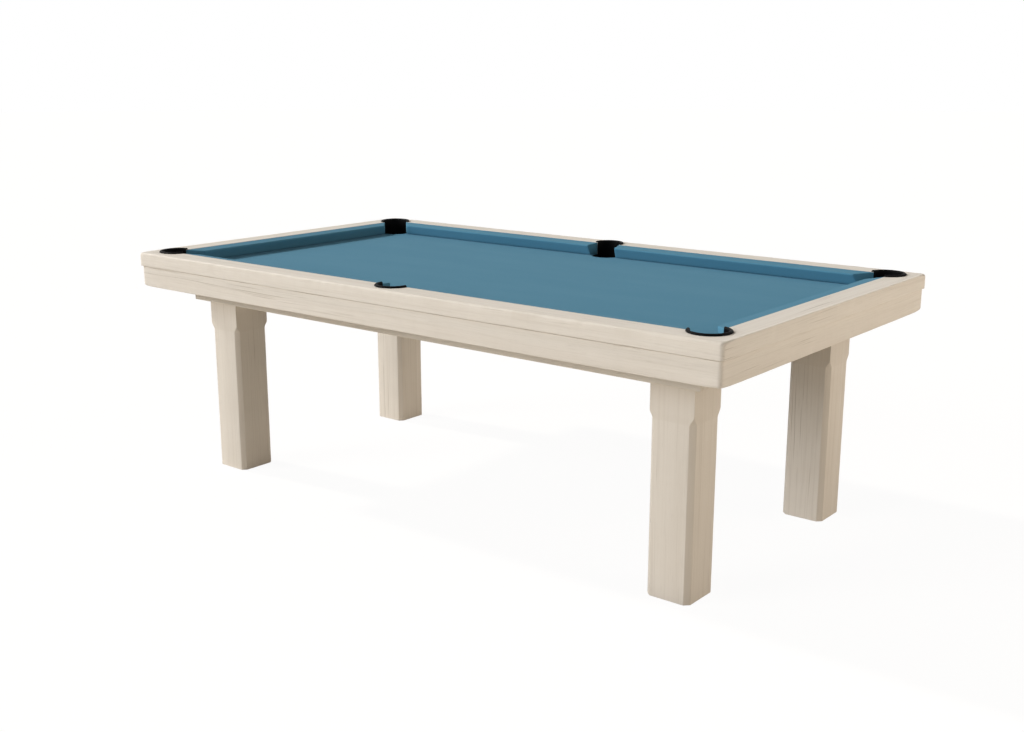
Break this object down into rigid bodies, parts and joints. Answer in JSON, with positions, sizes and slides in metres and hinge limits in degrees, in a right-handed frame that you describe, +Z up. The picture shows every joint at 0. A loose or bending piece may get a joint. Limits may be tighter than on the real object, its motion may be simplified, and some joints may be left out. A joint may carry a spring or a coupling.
{
  "type": "pool table",
  "caption": "Slate-bed pool table with bleached oak rails, aprons and square chamfered legs, blue cloth, black drop pockets and screw levelling feet.",
  "frame": {"origin": "on the floor under the middle of the table", "axes": "+X along the length towards the right end, +Y across towards the far side, +Z up"},
  "size_m": [2.524, 1.397, 0.8589],
  "materials": {
    "bleached_oak": "whitewashed open-grain oak, satin",
    "frame_timber": "planed timber, whitewashed, matt",
    "slate": "ground slate",
    "bed_cloth": "napped wool cloth, stretched flat",
    "cushion_cloth": "napped wool cloth over rubber",
    "pocket_rubber": "moulded, satin black",
    "zinc_steel": "zinc plated",
    "pad_plastic": "moulded, black"
  },
  "bodies": {
    "table": {"leg_near_left": "bleached_oak", "leg_near_right": "bleached_oak", "leg_far_right": "bleached_oak", "leg_far_left": "bleached_oak", "side_rail_near": "bleached_oak", "side_rail_far": "bleached_oak", "end_rail_left": "bleached_oak", "end_rail_right": "bleached_oak", "side_apron_near": "bleached_oak", "side_apron_far": "bleached_oak", "end_apron_left": "bleached_oak", "end_apron_right": "bleached_oak", "long_beam_near": "frame_timber", "long_beam_far": "frame_timber", "end_beam_left": "frame_timber", "end_beam_right": "frame_timber", "cross_beam_1": "frame_timber", "cross_beam_2": "frame_timber", "corner_block_near_left": "frame_timber", "corner_block_near_right": "frame_timber", "corner_block_far_right": "frame_timber", "corner_block_far_left": "frame_timber", "apron_block_near_left": "frame_timber", "apron_block_near_right": "frame_timber", "apron_block_far_right": "frame_timber", "apron_block_far_left": "frame_timber", "slate_1": "slate", "slate_2": "slate", "slate_3": "slate", "bed_cloth": "bed_cloth", "side_cushion_near_left": "cushion_cloth", "side_cushion_near_right": "cushion_cloth", "side_cushion_far_left": "cushion_cloth", "side_cushion_far_right": "cushion_cloth", "end_cushion_left": "cushion_cloth", "end_cushion_right": "cushion_cloth", "pocket_near_left": "pocket_rubber", "pocket_near_right": "pocket_rubber", "pocket_far_right": "pocket_rubber", "pocket_far_left": "pocket_rubber", "pocket_near_middle": "pocket_rubber", "pocket_far_middle": "pocket_rubber", "leg_bolt_near_left": "zinc_steel", "leg_bolt_near_right": "zinc_steel", "leg_bolt_far_right": "zinc_steel", "leg_bolt_far_left": "zinc_steel", "leveller_insert_near_left": "zinc_steel", "leveller_insert_near_right": "zinc_steel", "leveller_insert_far_right": "zinc_steel", "leveller_insert_far_left": "zinc_steel"},
    "pad_near_left": {"leveller_pad_near_left": "pad_plastic"},
    "stem_near_left": {"leveller_stem_near_left": "zinc_steel"},
    "pad_near_right": {"leveller_pad_near_right": "pad_plastic"},
    "stem_near_right": {"leveller_stem_near_right": "zinc_steel"},
    "pad_far_right": {"leveller_pad_far_right": "pad_plastic"},
    "stem_far_right": {"leveller_stem_far_right": "zinc_steel"},
    "pad_far_left": {"leveller_pad_far_left": "pad_plastic"},
    "stem_far_left": {"leveller_stem_far_left": "zinc_steel"}
  },
  "joints": [
    {"name": "level_near_left", "type": "slide", "parent": "table", "child": "pad_near_left", "axis": [0, 0, -1], "range_m": [0, 0.014]},
    {"name": "screw_near_left", "type": "hinge", "parent": "pad_near_left", "child": "stem_near_left", "pos_m": [-1.004, -0.4435, 0.03], "axis": [0, 0, -1], "range_deg": [0, 2880]},
    {"name": "level_near_right", "type": "slide", "parent": "table", "child": "pad_near_right", "axis": [0, 0, -1], "range_m": [0, 0.014]},
    {"name": "screw_near_right", "type": "hinge", "parent": "pad_near_right", "child": "stem_near_right", "pos_m": [1.004, -0.4435, 0.03], "axis": [0, 0, -1], "range_deg": [0, 2880]},
    {"name": "level_far_right", "type": "slide", "parent": "table", "child": "pad_far_right", "axis": [0, 0, -1], "range_m": [0, 0.014]},
    {"name": "screw_far_right", "type": "hinge", "parent": "pad_far_right", "child": "stem_far_right", "pos_m": [1.004, 0.4435, 0.03], "axis": [0, 0, -1], "range_deg": [0, 2880]},
    {"name": "level_far_left", "type": "slide", "parent": "table", "child": "pad_far_left", "axis": [0, 0, -1], "range_m": [0, 0.014]},
    {"name": "screw_far_left", "type": "hinge", "parent": "pad_far_left", "child": "stem_far_left", "pos_m": [-1.004, 0.4435, 0.03], "axis": [0, 0, -1], "range_deg": [0, 2880]}
  ],
  "couplings": [
    {"joint": "screw_near_left", "follows": "level_near_left", "rad_per_m": 3590.4},
    {"joint": "screw_near_right", "follows": "level_near_right", "rad_per_m": 3590.4},
    {"joint": "screw_far_right", "follows": "level_far_right", "rad_per_m": 3590.4},
    {"joint": "screw_far_left", "follows": "level_far_left", "rad_per_m": 3590.4}
  ]
}
